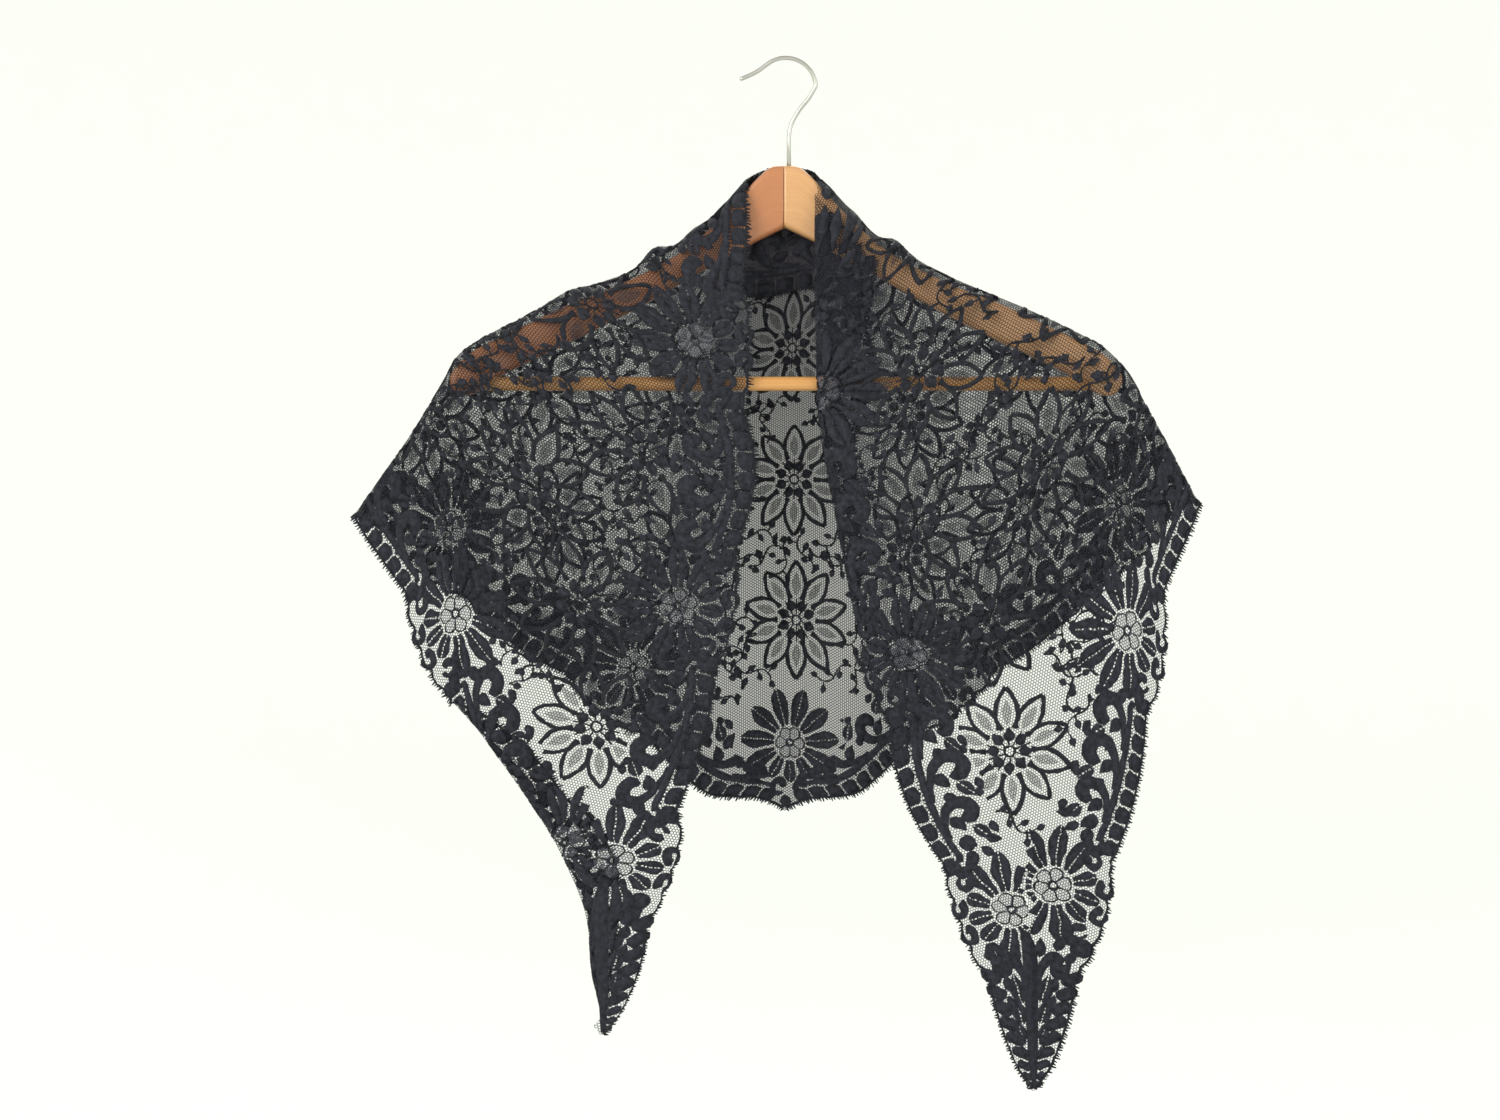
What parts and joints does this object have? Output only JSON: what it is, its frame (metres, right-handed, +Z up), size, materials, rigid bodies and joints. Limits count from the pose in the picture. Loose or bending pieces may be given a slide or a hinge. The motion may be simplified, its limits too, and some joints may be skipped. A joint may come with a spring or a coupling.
{
  "type": "lace mantilla on a wooden clothes hanger",
  "caption": "Triangular lace mantilla draped over a contoured wooden hanger with a trouser bar, its two pointed fronts hanging down and its point behind, held at the wire hook.",
  "frame": {"origin": "where the inside of the hook's arc rests on what holds it", "axes": "+X to the right as seen from the front, the front faces -Y, +Z up"},
  "size_m": [0.558, 0.0786, 0.6875],
  "materials": {
    "lace_ground": "black net ground with woven flowers, half see-through",
    "lace_border": "black dense scalloped lace border with a picot edge",
    "arm_wood": "clear lacquered beech, reddish",
    "bar_wood": "clear lacquered beech, yellowish",
    "hook_steel": "bright plated steel wire"
  },
  "bodies": {
    "root": {"back_panel": "lace_ground", "back_hem_border_left": "lace_border", "back_hem_border_right": "lace_border", "neck_turnover": "lace_border", "left_front": "lace_ground", "left_edge_border": "lace_border", "left_hem_border": "lace_border", "left_turned_hem": "lace_border", "right_front": "lace_ground", "right_edge_border": "lace_border", "right_hem_border": "lace_border", "right_turned_edge": "lace_border", "hanger_arm_left": "arm_wood", "hanger_arm_right": "arm_wood", "hanger_bar": "bar_wood", "hanger_hook": "hook_steel"}
  },
  "joints": []
}
